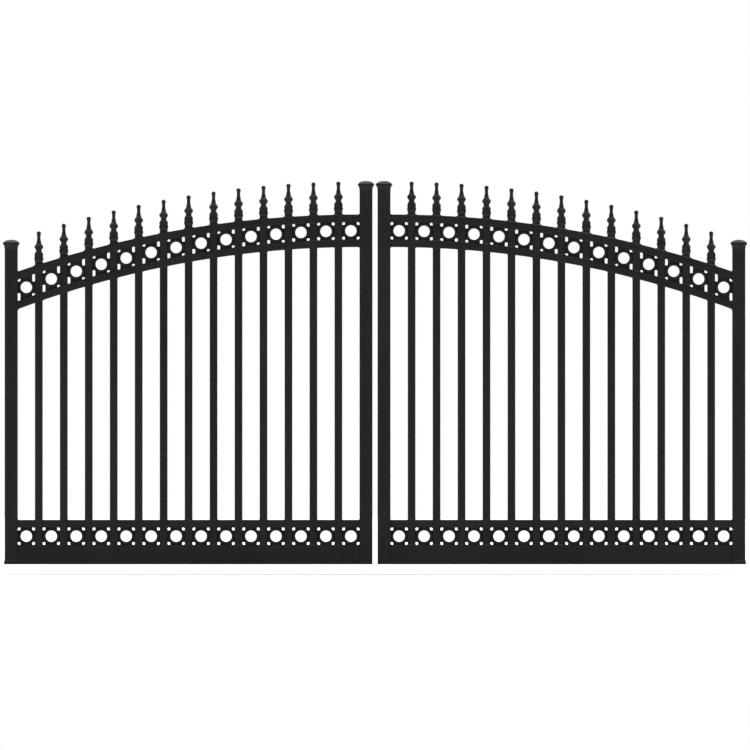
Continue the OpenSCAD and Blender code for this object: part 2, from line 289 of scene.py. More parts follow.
def add_loft(shape, sections):
    """Adds a closed solid through sections, which are rings with equally many corners."""
    rings = [[shape.verts.new(corner) for corner in section] for section in sections]
    count = len(rings[0])
    for lower, upper in zip(rings, rings[1:]):
        for i in range(count):
            j = (i + 1) % count
            shape.faces.new((lower[i], lower[j], upper[j], upper[i]))
    shape.faces.new(reversed(rings[0]))
    shape.faces.new(rings[-1])


def lofted(name, sections, slot, sharp=40):
    """A piece that is one closed solid through sections."""
    shape = bmesh.new()
    add_loft(shape, sections)
    return settle(make_piece(name, shape, finish_for(slot)), sharp)


def softened_copy(node, name, edge, slot):
    """A copy of a frame node with its triangles merged and its edges rounded."""
    shape = bmesh.new()
    shape.from_mesh(frame["nodes"][node].data)
    bmesh.ops.remove_doubles(shape, verts=shape.verts, dist=0.01 * MM)
    flat = math.radians(0.5)
    bmesh.ops.dissolve_limit(shape, angle_limit=flat, verts=shape.verts, edges=shape.edges)
    piece = make_piece(name, shape, finish_for(slot))
    rounding = piece.modifiers.new("rounding", "BEVEL")
    rounding.width = edge
    rounding.segments = 2
    rounding.limit_method = "ANGLE"
    rounding.angle_limit = math.radians(35)
    return settle(piece)


def hand_over(piece, body, slot, *nodes):
    """Fastens a piece to its body and hides the frame nodes that it stands for. The slot is not used."""
    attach(piece, body)
    if nodes:
        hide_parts(*nodes)


# Node trees


def add_node(tree, kind, inputs=None, **settings):
    """Adds a node to a tree. An input given as a socket is linked, and any other is set."""
    node = tree.nodes.new(kind)
    for setting, value in settings.items():
        setattr(node, setting, value)
    for name, value in (inputs or {}).items():
        if isinstance(value, bpy.types.NodeSocket):
            tree.links.new(value, node.inputs[name])
        else:
            node.inputs[name].default_value = value
    return node


def calculate(tree, operation, *values):
    """The result of a Math node."""
    return add_node(tree, "ShaderNodeMath", dict(enumerate(values)), operation=operation).outputs[0]


def product(tree, first, *others):
    """Several values multiplied in turn."""
    for other in others:
        first = calculate(tree, "MULTIPLY", first, other)
    return first


def new_tree(name, **inputs):
    """A Geometry Nodes tree with geometry in and out, the named inputs and a finish."""
    tree = bpy.data.node_groups.new(name, "GeometryNodeTree")
    sockets = {"Geometry": "Geometry", **inputs, "Finish": "Material"}
    for label, kind in sockets.items():
        tree.interface.new_socket(label.replace("_", " "), in_out="INPUT", socket_type="NodeSocket" + kind)
    tree.interface.new_socket("Geometry", in_out="OUTPUT", socket_type="NodeSocketGeometry")
    return tree, tree.nodes.new("NodeGroupInput").outputs


def end_tree(tree, given, geometry):
    """Ends a tree with real geometry in its finish."""
    real = add_node(tree, "GeometryNodeRealizeInstances", {"Geometry": geometry}).outputs[0]
    finished = add_node(tree, "GeometryNodeSetMaterial", {"Geometry": real, "Material": given["Finish"]})
    tree.links.new(finished.outputs[0], tree.nodes.new("NodeGroupOutput").inputs[0])
    return tree


def rounded_profile(tree, width, depth, corner):
    """A closed rectangle with rounded corners, to be swept along a path."""
    plain = add_node(tree, "GeometryNodeCurvePrimitiveQuadrilateral", {"Width": width, "Height": depth})
    inputs = {"Curve": plain.outputs[0], "Count": 3, "Radius": corner}
    return add_node(tree, "GeometryNodeFilletCurve", inputs, mode="POLY").outputs[0]


def swept(tree, path, profile, scale=1.0):
    """A profile swept along a path and closed at its ends."""
    inputs = {"Curve": path, "Profile Curve": profile, "Scale": scale, "Fill Caps": True}
    return add_node(tree, "GeometryNodeCurveToMesh", inputs).outputs[0]


def bars_tree():
    """Square bars with rounded edges, one along each edge of the mesh it is given."""
    tree, given = new_tree("Square bars", Width="Float", Corner="Float")
    path = add_node(tree, "GeometryNodeMeshToCurve", {"Mesh": given["Geometry"]}).outputs[0]
    profile = rounded_profile(tree, given["Width"], given["Width"], given["Corner"])
    return end_tree(tree, given, swept(tree, path, profile))


def rings_tree():
    """Upright rings of rounded bar, one at each point of the mesh it is given."""
    sizes = {"Radius": "Float", "Wall": "Float", "Depth": "Float", "Corner": "Float", "Steps": "Int"}
    tree, given = new_tree("Rings", **sizes)
    middle = calculate(tree, "SUBTRACT", given["Radius"], product(tree, given["Wall"], 0.5))
    size = {"Resolution": given["Steps"], "Radius": middle}
    circle = add_node(tree, "GeometryNodeCurvePrimitiveCircle", size)
    profile = rounded_profile(tree, given["Wall"], given["Depth"], given["Corner"])
    ring = swept(tree, circle.outputs[0], profile)
    upright = {"Geometry": ring, "Rotation": (math.radians(90), 0, 0)}
    ring = add_node(tree, "GeometryNodeTransform", upright).outputs[0]
    inputs = {"Points": given["Geometry"], "Instance": ring}
    copies = add_node(tree, "GeometryNodeInstanceOnPoints", inputs)
    return end_tree(tree, given, copies.outputs[0])


def beads_tree():
    """Rippled weld beads, one along each path of the mesh it is given."""
    sizes = {"Bead": "Float", "Ripple": "Float", "Unevenness": "Float", "Seed": "Float"}
    tree, given = new_tree("Weld beads", **sizes)
    path = add_node(tree, "GeometryNodeMeshToCurve", {"Mesh": given["Geometry"]}).outputs[0]
    ripple_share, ripple_height, bead_corners = 0.45, 0.07, 6
    even = {"Curve": path, "Length": product(tree, given["Ripple"], ripple_share)}
    path = add_node(tree, "GeometryNodeResampleCurve", even, mode="LENGTH").outputs[0]
    along = add_node(tree, "GeometryNodeSplineParameter").outputs["Length"]
    phase = calculate(tree, "DIVIDE", product(tree, along, math.tau), given["Ripple"])
    wave = product(tree, calculate(tree, "SINE", phase), ripple_height)
    place = add_node(tree, "GeometryNodeInputPosition").outputs[0]
    noise = {"Vector": place, "W": given["Seed"], "Scale": 70.0, "Detail": 2.0}
    uneven = add_node(tree, "ShaderNodeTexNoise", noise, noise_dimensions="4D").outputs[0]
    swell = product(tree, calculate(tree, "SUBTRACT", uneven, 0.5), given["Unevenness"])
    scale = calculate(tree, "ADD", calculate(tree, "ADD", wave, swell), 1.0)
    size = {"Resolution": bead_corners, "Radius": given["Bead"]}
    round_bead = add_node(tree, "GeometryNodeCurvePrimitiveCircle", size).outputs[0]
    return end_tree(tree, given, swept(tree, path, round_bead, scale))


def copies_tree():
    """A copy of one pattern at each point of the mesh it is given, turned by the point's attribute."""
    tree, given = new_tree("Copies", Pattern="Object")
    pattern = {"Object": given["Pattern"], "As Instance": True}
    copied = add_node(tree, "GeometryNodeObjectInfo", pattern).outputs["Geometry"]
    read = add_node(tree, "GeometryNodeInputNamedAttribute", {"Name": "turn"}, data_type="FLOAT_VECTOR")
    inputs = {"Points": given["Geometry"], "Instance": copied, "Rotation": read.outputs[0]}
    return end_tree(tree, given, add_node(tree, "GeometryNodeInstanceOnPoints", inputs).outputs[0])


TREES = {"bars": bars_tree, "rings": rings_tree, "beads": beads_tree, "copies": copies_tree}


def tree_for(kind):
    """The node tree of a kind, made once."""
    if kind not in bpy.context.scene:
        bpy.context.scene[kind] = TREES[kind]()
    return bpy.context.scene[kind]


def grow(name, seed, kind, slot, **inputs):
    """The plain mesh object that a node tree makes from a seed mesh, in the finish of a slot."""
    inputs["Finish"] = finish_for(slot)
    holder = bpy.data.objects.new(name + "_seed", seed)
    bpy.context.scene.collection.objects.link(holder)
    modifier = holder.modifiers.new(kind, "NODES")
    modifier.node_group = tree_for(kind)
    for socket in modifier.node_group.interface.items_tree:
        if socket.in_out == "INPUT" and socket.name in inputs:
            modifier[socket.identifier] = inputs[socket.name]
    depsgraph = bpy.context.evaluated_depsgraph_get()
    mesh = bpy.data.meshes.new_from_object(holder.evaluated_get(depsgraph))
    bpy.data.objects.remove(holder)
    if not mesh.polygons:
        raise RuntimeError(f"the {kind} tree made nothing for {name}")
    mesh.name = name
    mesh.materials.clear()
    mesh.materials.append(inputs["Finish"])
    mesh.polygons.foreach_set("material_index", [0] * len(mesh.polygons))
    piece = bpy.data.objects.new(name, mesh)
    bpy.context.scene.collection.objects.link(piece)
    return settle(piece)


def points_seed(places, turns=None):
    """A mesh of single points, each with the turn of the copy that it carries."""
    seed = bpy.data.meshes.new("points")
    seed.from_pydata([tuple(place) for place in places], [], [])
    turn = seed.attributes.new("turn", "FLOAT_VECTOR", "POINT")
    turn.data.foreach_set("vector", np.ravel(turns or [(0, 0, 0)] * len(places)))
    return seed


def paths_seed(paths):
    """A mesh of separate paths. Each is a list of corners and whether it closes on itself."""
    corners, edges = [], []
    for path, closed in paths:
        first = len(corners)
        corners += path
        edges += [(first + i, first + i + 1) for i in range(len(path) - 1)]
        if closed:
            edges.append((len(corners) - 1, first))
    seed = bpy.data.meshes.new("paths")
    seed.from_pydata(corners, edges, [])
    return seed


# Finishes


def mixed(tree, factor, first, second):
    """A colour between two others, which the node takes at its inputs 6 and 7 and gives at its output 2."""
    inputs = {0: factor, 6: first, 7: second}
    return add_node(tree, "ShaderNodeMix", inputs, data_type="RGBA").outputs[2]


def ranged(tree, value, low, high, to_low=0.0, to_high=1.0):
    """A value moved from one range to another, and held inside it."""
    inputs = {"Value": value, "From Min": low, "From Max": high, "To Min": to_low, "To Max": to_high}
    return add_node(tree, "ShaderNodeMapRange", inputs).outputs[0]


def noise(tree, place, scale, detail=2.0, roughness=0.5):
    """A noise value from 0 to 1."""
    inputs = {"Vector": place, "Scale": scale, "Detail": detail, "Roughness": roughness}
    return add_node(tree, "ShaderNodeTexNoise", inputs).outputs[0]


def opaque(colour):
    """A colour with full alpha."""
    return (*colour, 1.0)


def bar_edges(tree):
    """1 on the rounded long edges of a bar that faces the front, 0 on its flat faces."""
    flat, round_edge = 0.12, 0.22
    facing = add_node(tree, "ShaderNodeTexCoord").outputs["Normal"]
    forwards = add_node(tree, "ShaderNodeSeparateXYZ", {0: facing}).outputs["Y"]
    forwards = calculate(tree, "ABSOLUTE", forwards)
    between = product(tree, forwards, calculate(tree, "SUBTRACT", 1.0, forwards))
    return ranged(tree, between, flat, round_edge)


def ridges(tree):
    """1 on the ridges of a closely modelled casting, 0 elsewhere."""
    rounded, sharp = 0.53, 0.6
    pointed = add_node(tree, "ShaderNodeNewGeometry").outputs["Pointiness"]
    return ranged(tree, pointed, rounded, sharp)


def forged_edges(tree):
    """1 along the edges of a forging, 0 on its faces."""
    face, edge = 0.97, 0.88
    blurred = add_node(tree, "ShaderNodeBevel", {"Radius": 2.5 * MM}, samples=4).outputs[0]
    plain = add_node(tree, "ShaderNodeNewGeometry").outputs["Normal"]
    alike = add_node(tree, "ShaderNodeVectorMath", {0: blurred, 1: plain}, operation="DOT_PRODUCT")
    return ranged(tree, alike.outputs["Value"], face, edge)


def new_material(name):
    """A new material, its node tree and its shader."""
    material = bpy.data.materials.new(name)
    material.use_nodes = True
    return material, material.node_tree, material.node_tree.nodes["Principled BSDF"]


def enamel(name, edges, grain, grain_depth, dent=0.0, dent_size=25.0, stretch=(1, 1, 1), gloss=(0.34, 0.5)):
    """Black satin enamel on iron, with the function that finds its edges.

    It drifts a little in colour and gloss, has the fine relief of brushed and sprayed paint, carries dust on
    what faces up and shows its undercoat where an edge has been knocked.
    """
    most_worn, most_dust, dust_roughness, sheen = 0.6, 0.3, 0.5, 0.26
    colours = bpy.context.scene.gate_colours
    material, tree, shader = new_material(name)
    shader.inputs["Specular IOR Level"].default_value = sheen
    place = add_node(tree, "ShaderNodeTexCoord").outputs["Object"]
    along = add_node(tree, "ShaderNodeMapping", {"Vector": place, "Scale": stretch}).outputs[0]
    surface = add_node(tree, "ShaderNodeNewGeometry").outputs

    drift = noise(tree, along, scale=5.0, detail=4.0)
    weather = ranged(tree, drift, 0.35, 0.65)
    colour = mixed(tree, weather, opaque(colours.enamel), opaque(colours.faded_enamel))
    smear = noise(tree, along, scale=45.0, detail=4.0, roughness=0.6)
    rough = ranged(tree, smear, 0.3, 0.7, *gloss)

    chips = noise(tree, place, scale=60.0, detail=3.0)
    knocks = ranged(tree, chips, 0.5, 0.62)
    worn = product(tree, edges(tree), knocks, most_worn)
    colour = mixed(tree, worn, colour, opaque(colours.undercoat))

    facing = add_node(tree, "ShaderNodeSeparateXYZ", {0: surface["Normal"]}).outputs["Z"]
    lying = ranged(tree, facing, 0.55, 0.98)
    heaps = noise(tree, place, scale=22.0, detail=5.0, roughness=0.65)
    drifts = ranged(tree, heaps, 0.38, 0.7)
    dusty = product(tree, lying, drifts, most_dust)
    colour = mixed(tree, dusty, colour, opaque(colours.dust))
    rough = calculate(tree, "ADD", rough, product(tree, dusty, dust_roughness))

    skin = noise(tree, along, scale=grain, detail=3.0, roughness=0.55)
    dents = product(tree, noise(tree, place, scale=dent_size, detail=1.0), dent)
    relief = calculate(tree, "ADD", product(tree, skin, grain_depth), dents)
    bump = add_node(tree, "ShaderNodeBump", {"Height": relief, "Distance": 1.0, "Strength": 1.0}).outputs[0]

    tree.links.new(colour, shader.inputs["Base Color"])
    tree.links.new(rough, shader.inputs["Roughness"])
    tree.links.new(bump, shader.inputs["Normal"])
    return material


def frame_enamel():
    """Paint on the drawn stiles and rails."""
    return enamel("frame_enamel", bar_edges, 320.0, 0.00022, stretch=(0.6, 1, 0.6))


def picket_enamel():
    """Paint on the pickets, drawn out along them."""
    return enamel("picket_enamel", bar_edges, 320.0, 0.00022, stretch=(1, 1, 0.25))


def ring_enamel():
    """Paint on the rings, over the marks of bending."""
    return enamel("ring_enamel", bar_edges, 380.0, 0.0002, dent=0.0012, dent_size=70.0)


def cast_enamel():
    """Paint on the cast finials, over a sand cast skin."""
    return enamel("cast_enamel", ridges, 520.0, 0.00042, dent=0.0008, dent_size=110.0, gloss=(0.4, 0.56))


def cap_enamel():
    """Paint on the stile caps."""
    return enamel("cap_enamel", forged_edges, 420.0, 0.0003, dent=0.0006, dent_size=60.0, gloss=(0.36, 0.52))


def hinge_enamel():
    """Paint on the hinges, rubbed to greasy steel close to the pins."""
    steel_reach, grease_reach, steel_metallic, grease_roughness = 8.5 * MM, 10.5 * MM, 0.85, 0.22
    steel_fade, grease_fade, raggedness = 1 * MM, 3 * MM, 3 * MM
    material = enamel("hinge_enamel", forged_edges, 300.0, 0.0003, dent=0.0008, dent_size=80.0)
    colours = bpy.context.scene.gate_colours
    tree = material.node_tree
    shader = tree.nodes["Principled BSDF"]
    paint = shader.inputs["Base Color"].links[0].from_socket
    rough = shader.inputs["Roughness"].links[0].from_socket
    place = add_node(tree, "ShaderNodeTexCoord").outputs["Object"]
    flat = add_node(tree, "ShaderNodeVectorMath", {0: place, 1: (1, 1, 0)}, operation="MULTIPLY").outputs[0]
    nearest = None
    for joint in frame["joints"]:
        x, y, _ = joint["pos_m"]
        apart = {0: flat, 1: (x, y, 0)}
        distance = add_node(tree, "ShaderNodeVectorMath", apart, operation="DISTANCE").outputs["Value"]
        nearest = distance if nearest is None else calculate(tree, "MINIMUM", nearest, distance)
    ragged = product(tree, noise(tree, place, scale=180.0, detail=3.0), raggedness)
    reach = calculate(tree, "SUBTRACT", nearest, ragged)
    normal = add_node(tree, "ShaderNodeNewGeometry").outputs["Normal"]
    upwards = calculate(tree, "ABSOLUTE", add_node(tree, "ShaderNodeSeparateXYZ", {0: normal}).outputs["Z"])
    on_sides = ranged(tree, upwards, 0.9, 0.6)
    rubbed = product(tree, ranged(tree, reach, steel_reach + steel_fade, steel_reach), on_sides)
    greased = product(tree, ranged(tree, reach, grease_reach + grease_fade, grease_reach), on_sides)
    streaks = ranged(tree, noise(tree, place, scale=240.0, detail=3.0), 0.4, 0.6)
    film = product(tree, greased, ranged(tree, streaks, 0.0, 1.0, 0.35, 0.9))
    colour = mixed(tree, rubbed, paint, opaque(colours.steel))
    colour = mixed(tree, film, colour, opaque(colours.grease))
    tree.links.new(colour, shader.inputs["Base Color"])
    tree.links.new(product(tree, rubbed, steel_metallic), shader.inputs["Metallic"])
    slick = add_node(tree, "ShaderNodeMix", {0: film, 2: rough, 3: grease_roughness}).outputs[0]
    tree.links.new(slick, shader.inputs["Roughness"])
    return material


def floor_paint():
    """Plain pale floor."""
    material, _, shader = new_material("floor_paint")
    shader.inputs["Roughness"].default_value = 1.0
    shader.inputs["Specular IOR Level"].default_value = 0.0
    shader.inputs["Base Color"].default_value = opaque(bpy.context.scene.gate_colours.floor)
    return material


FINISHES = {
    "frame_paint": frame_enamel,
    "picket_paint": picket_enamel,
    "ring_paint": ring_enamel,
    "casting_paint": cast_enamel,
    "cap_paint": cap_enamel,
    "hinge_paint": hinge_enamel,
}


def finish_for(slot):
    """The finish of one of the record's material slots, made once."""
    name = FINISHES[slot].__name__
    return bpy.data.materials.get(name) or FINISHES[slot]()


# Operators


class GATE_OT_stage(bpy.types.Operator):
    """Make the floor, the soft studio light and the camera"""

    bl_idname = "gate.stage"
    bl_label = "Stage"

    def execute(self, context):
        stage = context.scene.gate_stage
        low, high = self.leaves()
        self.make_floor(stage, (low.x + high.x) / 2, low.z)
        self.make_light(context.scene)
        self.make_camera(context.scene, stage, low, high)
        context.scene.view_settings.view_transform = "Standard"
        return {"FINISHED"}

    def leaves(self):
        """Box of both leaves' hinge stiles and bottom rails, by which the view is placed."""
        boxes = [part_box(f"{side}_{piece}") for side in SIDES for piece in ("hinge_stile", "bottom_rail")]
        low = Vector(min(box[0][axis] for box in boxes) for axis in range(3))
        high = Vector(max(box[1][axis] for box in boxes) for axis in range(3))
        return low, high

    def make_floor(self, stage, x, underside):
        shape = bmesh.new()
        bmesh.ops.create_circle(shape, cap_ends=True, segments=128, radius=stage.floor_radius)
        bmesh.ops.translate(shape, vec=(x, 0, underside - stage.ground_gap), verts=shape.verts)
        floor = make_piece("floor", shape, floor_paint())
        if floor.data.polygons[0].normal.z < 0:
            floor.data.flip_normals()

    def make_light(self, scene):
        """A pale room, a broad light overhead and weaker ones from the front, both sides and the rear."""
        lights = {
            "overhead": (2.5, 60, (0, 0)),
            "front_left": (0.2, 25, (58, -38)),
            "side_right": (1.5, 25, (62, 100)),
            "side_left": (1.2, 25, (62, -100)),
            "rear": (0.8, 40, (50, 165)),
        }
        for name, (power, softness, (lean, heading)) in lights.items():
            light = bpy.data.lights.new(name, "SUN")
            light.energy = power
            light.angle = math.radians(softness)
            lamp = bpy.data.objects.new(name, light)
            lamp.rotation_euler = (math.radians(lean), 0, math.radians(heading))
            scene.collection.objects.link(lamp)
        world = bpy.data.worlds.new("pale_room")
        world.use_nodes = True
        tree = world.node_tree
        background = tree.nodes["Background"]
        seen = add_node(tree, "ShaderNodeLightPath").outputs["Is Camera Ray"]
        tree.links.new(ranged(tree, seen, 0.0, 1.0, 0.12, 1.0), background.inputs["Strength"])
        background.inputs["Color"].default_value = (1, 1, 1, 1)
        scene.world = world

    def make_camera(self, scene, stage, low, high):
        data = bpy.data.cameras.new("camera")
        data.lens = stage.lens
        distance = stage.view_width * stage.lens / data.sensor_width
        data.clip_end = 2 * distance
        camera = bpy.data.objects.new("camera", data)
        middle = (low + high) / 2
        camera.location = (middle.x, middle.y - distance, low.z + stage.eye_height)
        camera.rotation_euler = (math.radians(90), 0, 0)
        scene.collection.objects.link(camera)
        scene.camera = camera


class GATE_OT_stiles(bpy.types.Operator):
    """Make the four stiles as square tubes with rounded edges and a welded plug in the foot"""

    bl_idname = "gate.stiles"
    bl_label = "Stiles"

    def execute(self, context):
        corner = context.scene.gate_sizes.stile_corner
        foot_edge, wall, plug_inset, plug_recess = 2 * MM, 5.5 * MM, 7 * MM, 1.5 * MM
        for side, node in nodes_of(*STILES):
            low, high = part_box(node)
            half = (high.x - low.x) / 2
            middle = (low + high) / 2
            levels = [
                (half - plug_inset, low.z + plug_recess),
                (half - wall, low.z),
                (half - foot_edge, low.z),
                (half - foot_edge / 3, low.z + foot_edge / 3),
                (half, low.z + foot_edge),
                (half, high.z),
            ]
            sections = [level_square(middle, z, width, corner, steps=4) for width, z in levels]
            piece = lofted(f"{node}_tube", sections, "frame_paint")
            hand_over(piece, f"{side}_leaf", "frame_paint", node)
        return {"FINISHED"}


class GATE_OT_caps(bpy.types.Operator):
    """Make the coved and domed caps of the stiles, with softened corners"""

    bl_idname = "gate.caps"
    bl_label = "Stile caps"

    def execute(self, context):
        corner = context.scene.gate_sizes.cap_corner
        for side, node in nodes_of(*(f"{stile}_cap" for stile in STILES)):
            corners = corners_of(node)
            low, high = box_of(corners)
            middle = (low + high) / 2
            profile = self.softened([level[:2] for level in levels_of(corners)])
            sections = [level_square(middle, z, half, min(corner, half / 2)) for z, half in profile]
            piece = lofted(f"{node}_casting", sections, "cap_paint", sharp=50)
            hand_over(piece, f"{side}_leaf", "cap_paint", node)
        return {"FINISHED"}

    def softened(self, profile, rounding=0.5 * MM):
        """The cap's profile with the sharp edge of its rim rounded off."""
        widest = max(width for _, width in profile)
        rim = next(i for i, (_, width) in enumerate(profile) if width == widest)
        rim_z = profile[rim][0]
        steps = ((-0.6, 0.6), (0.4, 0), (1.6, 0.15))
        rounded = [(rim_z + up * rounding, widest - back * rounding) for up, back in steps]
        return [*profile[:rim], *rounded, *profile[rim + 1:]]


class GATE_OT_shoes(bpy.types.Operator):
    """Make the shoes at the feet of the hinge stiles"""

    bl_idname = "gate.shoes"
    bl_label = "Hinge stile shoes"

    def execute(self, context):
        edge = context.scene.gate_sizes.shoe_edge
        for side, node in nodes_of("hinge_stile_shoe"):
            piece = softened_copy(node, f"{node}_plate", edge, "frame_paint")
            hand_over(piece, f"{side}_leaf", "frame_paint", node)
        return {"FINISHED"}


class GATE_OT_rails(bpy.types.Operator):
    """Make the straight and the arched rails as bars with rounded edges"""

    bl_idname = "gate.rails"
    bl_label = "Rails"

    def execute(self, context):
        corner = context.scene.gate_sizes.rail_corner
        for side, node in nodes_of(*RAILS):
            low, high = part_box(node)
            under, over = rail_faces(node)
            steps = 72 if "arch" in node else 1
            places = [low.x + (high.x - low.x) * step / steps for step in range(steps + 1)]
            sections = [rail_section(x, low.y, high.y, under(x), over(x), corner) for x in places]
            piece = lofted(f"{node}_bar", sections, "frame_paint")
            hand_over(piece, f"{side}_leaf", "frame_paint", node)
        return {"FINISHED"}


class GATE_OT_pickets(bpy.types.Operator):
    """Make each leaf's pickets as square bars with rounded edges"""

    bl_idname = "gate.pickets"
    bl_label = "Pickets"

    def execute(self, context):
        corner = context.scene.gate_sizes.picket_corner
        for side, node in nodes_of("pickets"):
            paths = []
            for bar in bars_of(node):
                low, high = box_of(bar)
                middle = (low + high) / 2
                paths.append(([(middle.x, middle.y, low.z), (middle.x, middle.y, high.z)], False))
            sizes = {"Width": high.x - low.x, "Corner": corner}
            piece = grow(f"{node}_bars", paths_seed(paths), "bars", "picket_paint", **sizes)
            hand_over(piece, f"{side}_leaf", "picket_paint", node)
        return {"FINISHED"}


class GATE_OT_rings(bpy.types.Operator):
    """Make the two rows of rings in each leaf"""

    bl_idname = "gate.rings"
    bl_label = "Rings"

    def execute(self, context):
        for side, node in nodes_of(*ROWS):
            measured = [measured_ring(ring) for ring in bars_of(node)]
            low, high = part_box(node)
            _, radius, hole = measured[0]
            sizes = {
                "Radius": radius,
                "Wall": radius - hole,
                "Depth": high.y - low.y,
                "Corner": context.scene.gate_sizes.ring_corner,
                "Steps": 56,
            }
            seed = points_seed([centre for centre, _, _ in measured])
            piece = grow(f"{node}_row", seed, "rings", "ring_paint", **sizes)
            hand_over(piece, f"{side}_leaf", "ring_paint", node)
        return {"FINISHED"}


class GATE_OT_ring_collars(bpy.types.Operator):
    """Make the collars that join each ring to the rails and uprights round it"""

    bl_idname = "gate.ring_collars"
    bl_label = "Ring collars"

    def execute(self, context):
        sizes = context.scene.gate_sizes
        for side in SIDES:
            for row, (floor_rail, roof_rail) in ROWS.items():
                node = f"{side}_{row}"
                _, floor = rail_faces(f"{side}_{floor_rail}")
                roof, _ = rail_faces(f"{side}_{roof_rail}")
                rings = bars_of(node)
                half_width, half_depth = measured_collars(rings[0])
                shape = bmesh.new()
                for ring in rings:
                    centre, radius, _ = measured_ring(ring)
                    upright = box_of(ring)[1].x - centre.x
                    reaches = (
                        lambda u: roof(centre.x + u) - centre.z,
                        lambda u: upright,
                        lambda u: centre.z - floor(centre.x - u),
                        lambda u: upright,
                    )
                    for quarter, reach in enumerate(reaches):
                        outline = self.outline(radius, half_width, reach, sizes.collar_flare)
                        self.add_collar(shape, centre, outline, half_depth, quarter, sizes.collar_edge)
                piece = settle(make_piece(f"{node}_collars", shape, finish_for("ring_paint")))
                hand_over(piece, f"{side}_leaf", "ring_paint")
        return {"FINISHED"}

    def outline(self, radius, half_width, reach, flare):
        """Points across and outwards from the ring's centre, each with its free side: 1, -1 or 0 for neither.

        The other two sides run on a little into their neighbours, and a free side swells towards them.
        """
        sunk, bed = 2 * MM, radius - 5 * MM
        stations = [half_width * share for share in (-1, -0.5, 0, 0.5, 1)]
        outer = [(across, reach(across) + sunk, 0) for across in stations]
        inner = [(across, math.sqrt(bed**2 - across**2), 0) for across in reversed(stations)]
        foot = math.sqrt(radius**2 - half_width**2)
        right = self.free_side(half_width, reach(half_width), foot, flare, 1)
        left = self.free_side(half_width, foot, reach(-half_width), flare, -1)
        return [*outer, *right, *inner, *left]

    def free_side(self, half_width, start, end, flare, side):
        """Points along one free side, widest where it meets its neighbours."""
        swells = ((0.02, 1), (0.22, 0.3), (0.5, 0), (0.78, 0.3), (0.98, 1))
        return [
            (side * (half_width + swell * flare), start + (end - start) * share, side)
            for share, swell in swells
        ]

    def add_collar(self, shape, centre, outline, half_depth, quarter, edge):
        """Adds one collar, turned by quarters from upright, with rounded front and back edges."""
        cosine, sine = ((1, 0), (0, 1), (-1, 0), (0, -1))[quarter]
        flat = half_depth - edge
        sections = []
        for y, inset in ((-half_depth, edge), (-flat, 0), (flat, 0), (half_depth, edge)):
            section = []
            for across, outwards, side in outline:
                aside = across - side * inset
                x = centre.x + aside * cosine + outwards * sine
                z = centre.z - aside * sine + outwards * cosine
                section.append((x, centre.y + y, z))
            sections.append(section)
        add_loft(shape, sections)


class GATE_OT_finials(bpy.types.Operator):
    """Make the turned finials on the pickets, each with its square socket"""

    bl_idname = "gate.finials"
    bl_label = "Finials"

    def execute(self, context):
        corner = context.scene.gate_sizes.socket_corner
        for side, node in nodes_of("finials"):
            castings = bars_of(node)
            pattern = self.pattern(castings[-1] if side == "left" else castings[0], corner)
            places, turns = [], []
            for number, casting in enumerate(castings):
                low, high = box_of(casting)
                places.append(((low.x + high.x) / 2, (low.y + high.y) / 2, high.z))
                turns.append((0, 0, math.radians(90 * (number % 4))))
            seed = points_seed(places, turns)
            piece = grow(f"{node}_castings", seed, "copies", "casting_paint", Pattern=pattern)
            bpy.data.objects.remove(pattern)
            hand_over(piece, f"{side}_leaf", "casting_paint", node)
        return {"FINISHED"}

    def pattern(self, casting, corner, rim=1.2 * MM, overlap=2 * MM):
        """One finial with its tip at the origin: a turned stem with two mould lines, on a square socket."""
        levels = levels_of(casting)
        tip = levels[-1][0]
        square = 1.1
        socket = [(z, half) for z, half, radius in levels if radius > square * half]
        top, half = socket[-1]
        stem = [(z, radius) for z, _, radius in levels if z > top]
        stem = [(top - overlap, stem[0][1]), *stem]
        shape = bmesh.new()
        add_loft(shape, [self.turned_ring(radius, z - tip) for z, radius in stem])
        socket[-1:] = [(top - rim, half), (top - 0.3 * rim, half - 0.3 * rim), (top, half - rim)]
        add_loft(shape, [level_square(Vector(), z - tip, half, corner) for z, half in socket])
        return settle(make_piece("finial_pattern", shape, finish_for("casting_paint")), sharp=50)

    def turned_ring(self, radius, z, corners=40, raised=0.25 * MM, thin=3 * MM):
        """A ring of the stem, raised a little at the two mould lines where the stem isn't thin."""
        ring = []
        for i in range(corners):
            turn = math.tau * i / corners
            seam = raised if i % (corners // 2) == 0 and radius > thin else 0
            ring.append(((radius + seam) * math.cos(turn), (radius + seam) * math.sin(turn), z))
        return ring


def forged(context, kind):
    """Makes both sides' hinge pieces of one kind, and gives each with its side and node."""
    edge = context.scene.gate_sizes.forged_edge
    for side, node in nodes_of(*(f"{level}_{kind}" for level in LEVELS)):
        yield softened_copy(node, f"{node}_forging", edge, "hinge_paint"), side, node


class GATE_OT_hinge_eyes(bpy.types.Operator):
    """Make the hinge eyes on the backs of the hinge stiles"""

    bl_idname = "gate.hinge_eyes"
    bl_label = "Hinge eyes"

    def execute(self, context):
        for piece, side, node in forged(context, "hinge_eye"):
            hand_over(piece, f"{side}_leaf", "hinge_paint", node)
        return {"FINISHED"}


class GATE_OT_hook_plates(bpy.types.Operator):
    """Make the hook plates that carry the hinge pins"""

    bl_idname = "gate.hook_plates"
    bl_label = "Hook plates"

    def execute(self, context):
        for piece, _, node in forged(context, "hook_plate"):
            hand_over(piece, HOOKS_BODY, "hinge_paint", node)
        return {"FINISHED"}


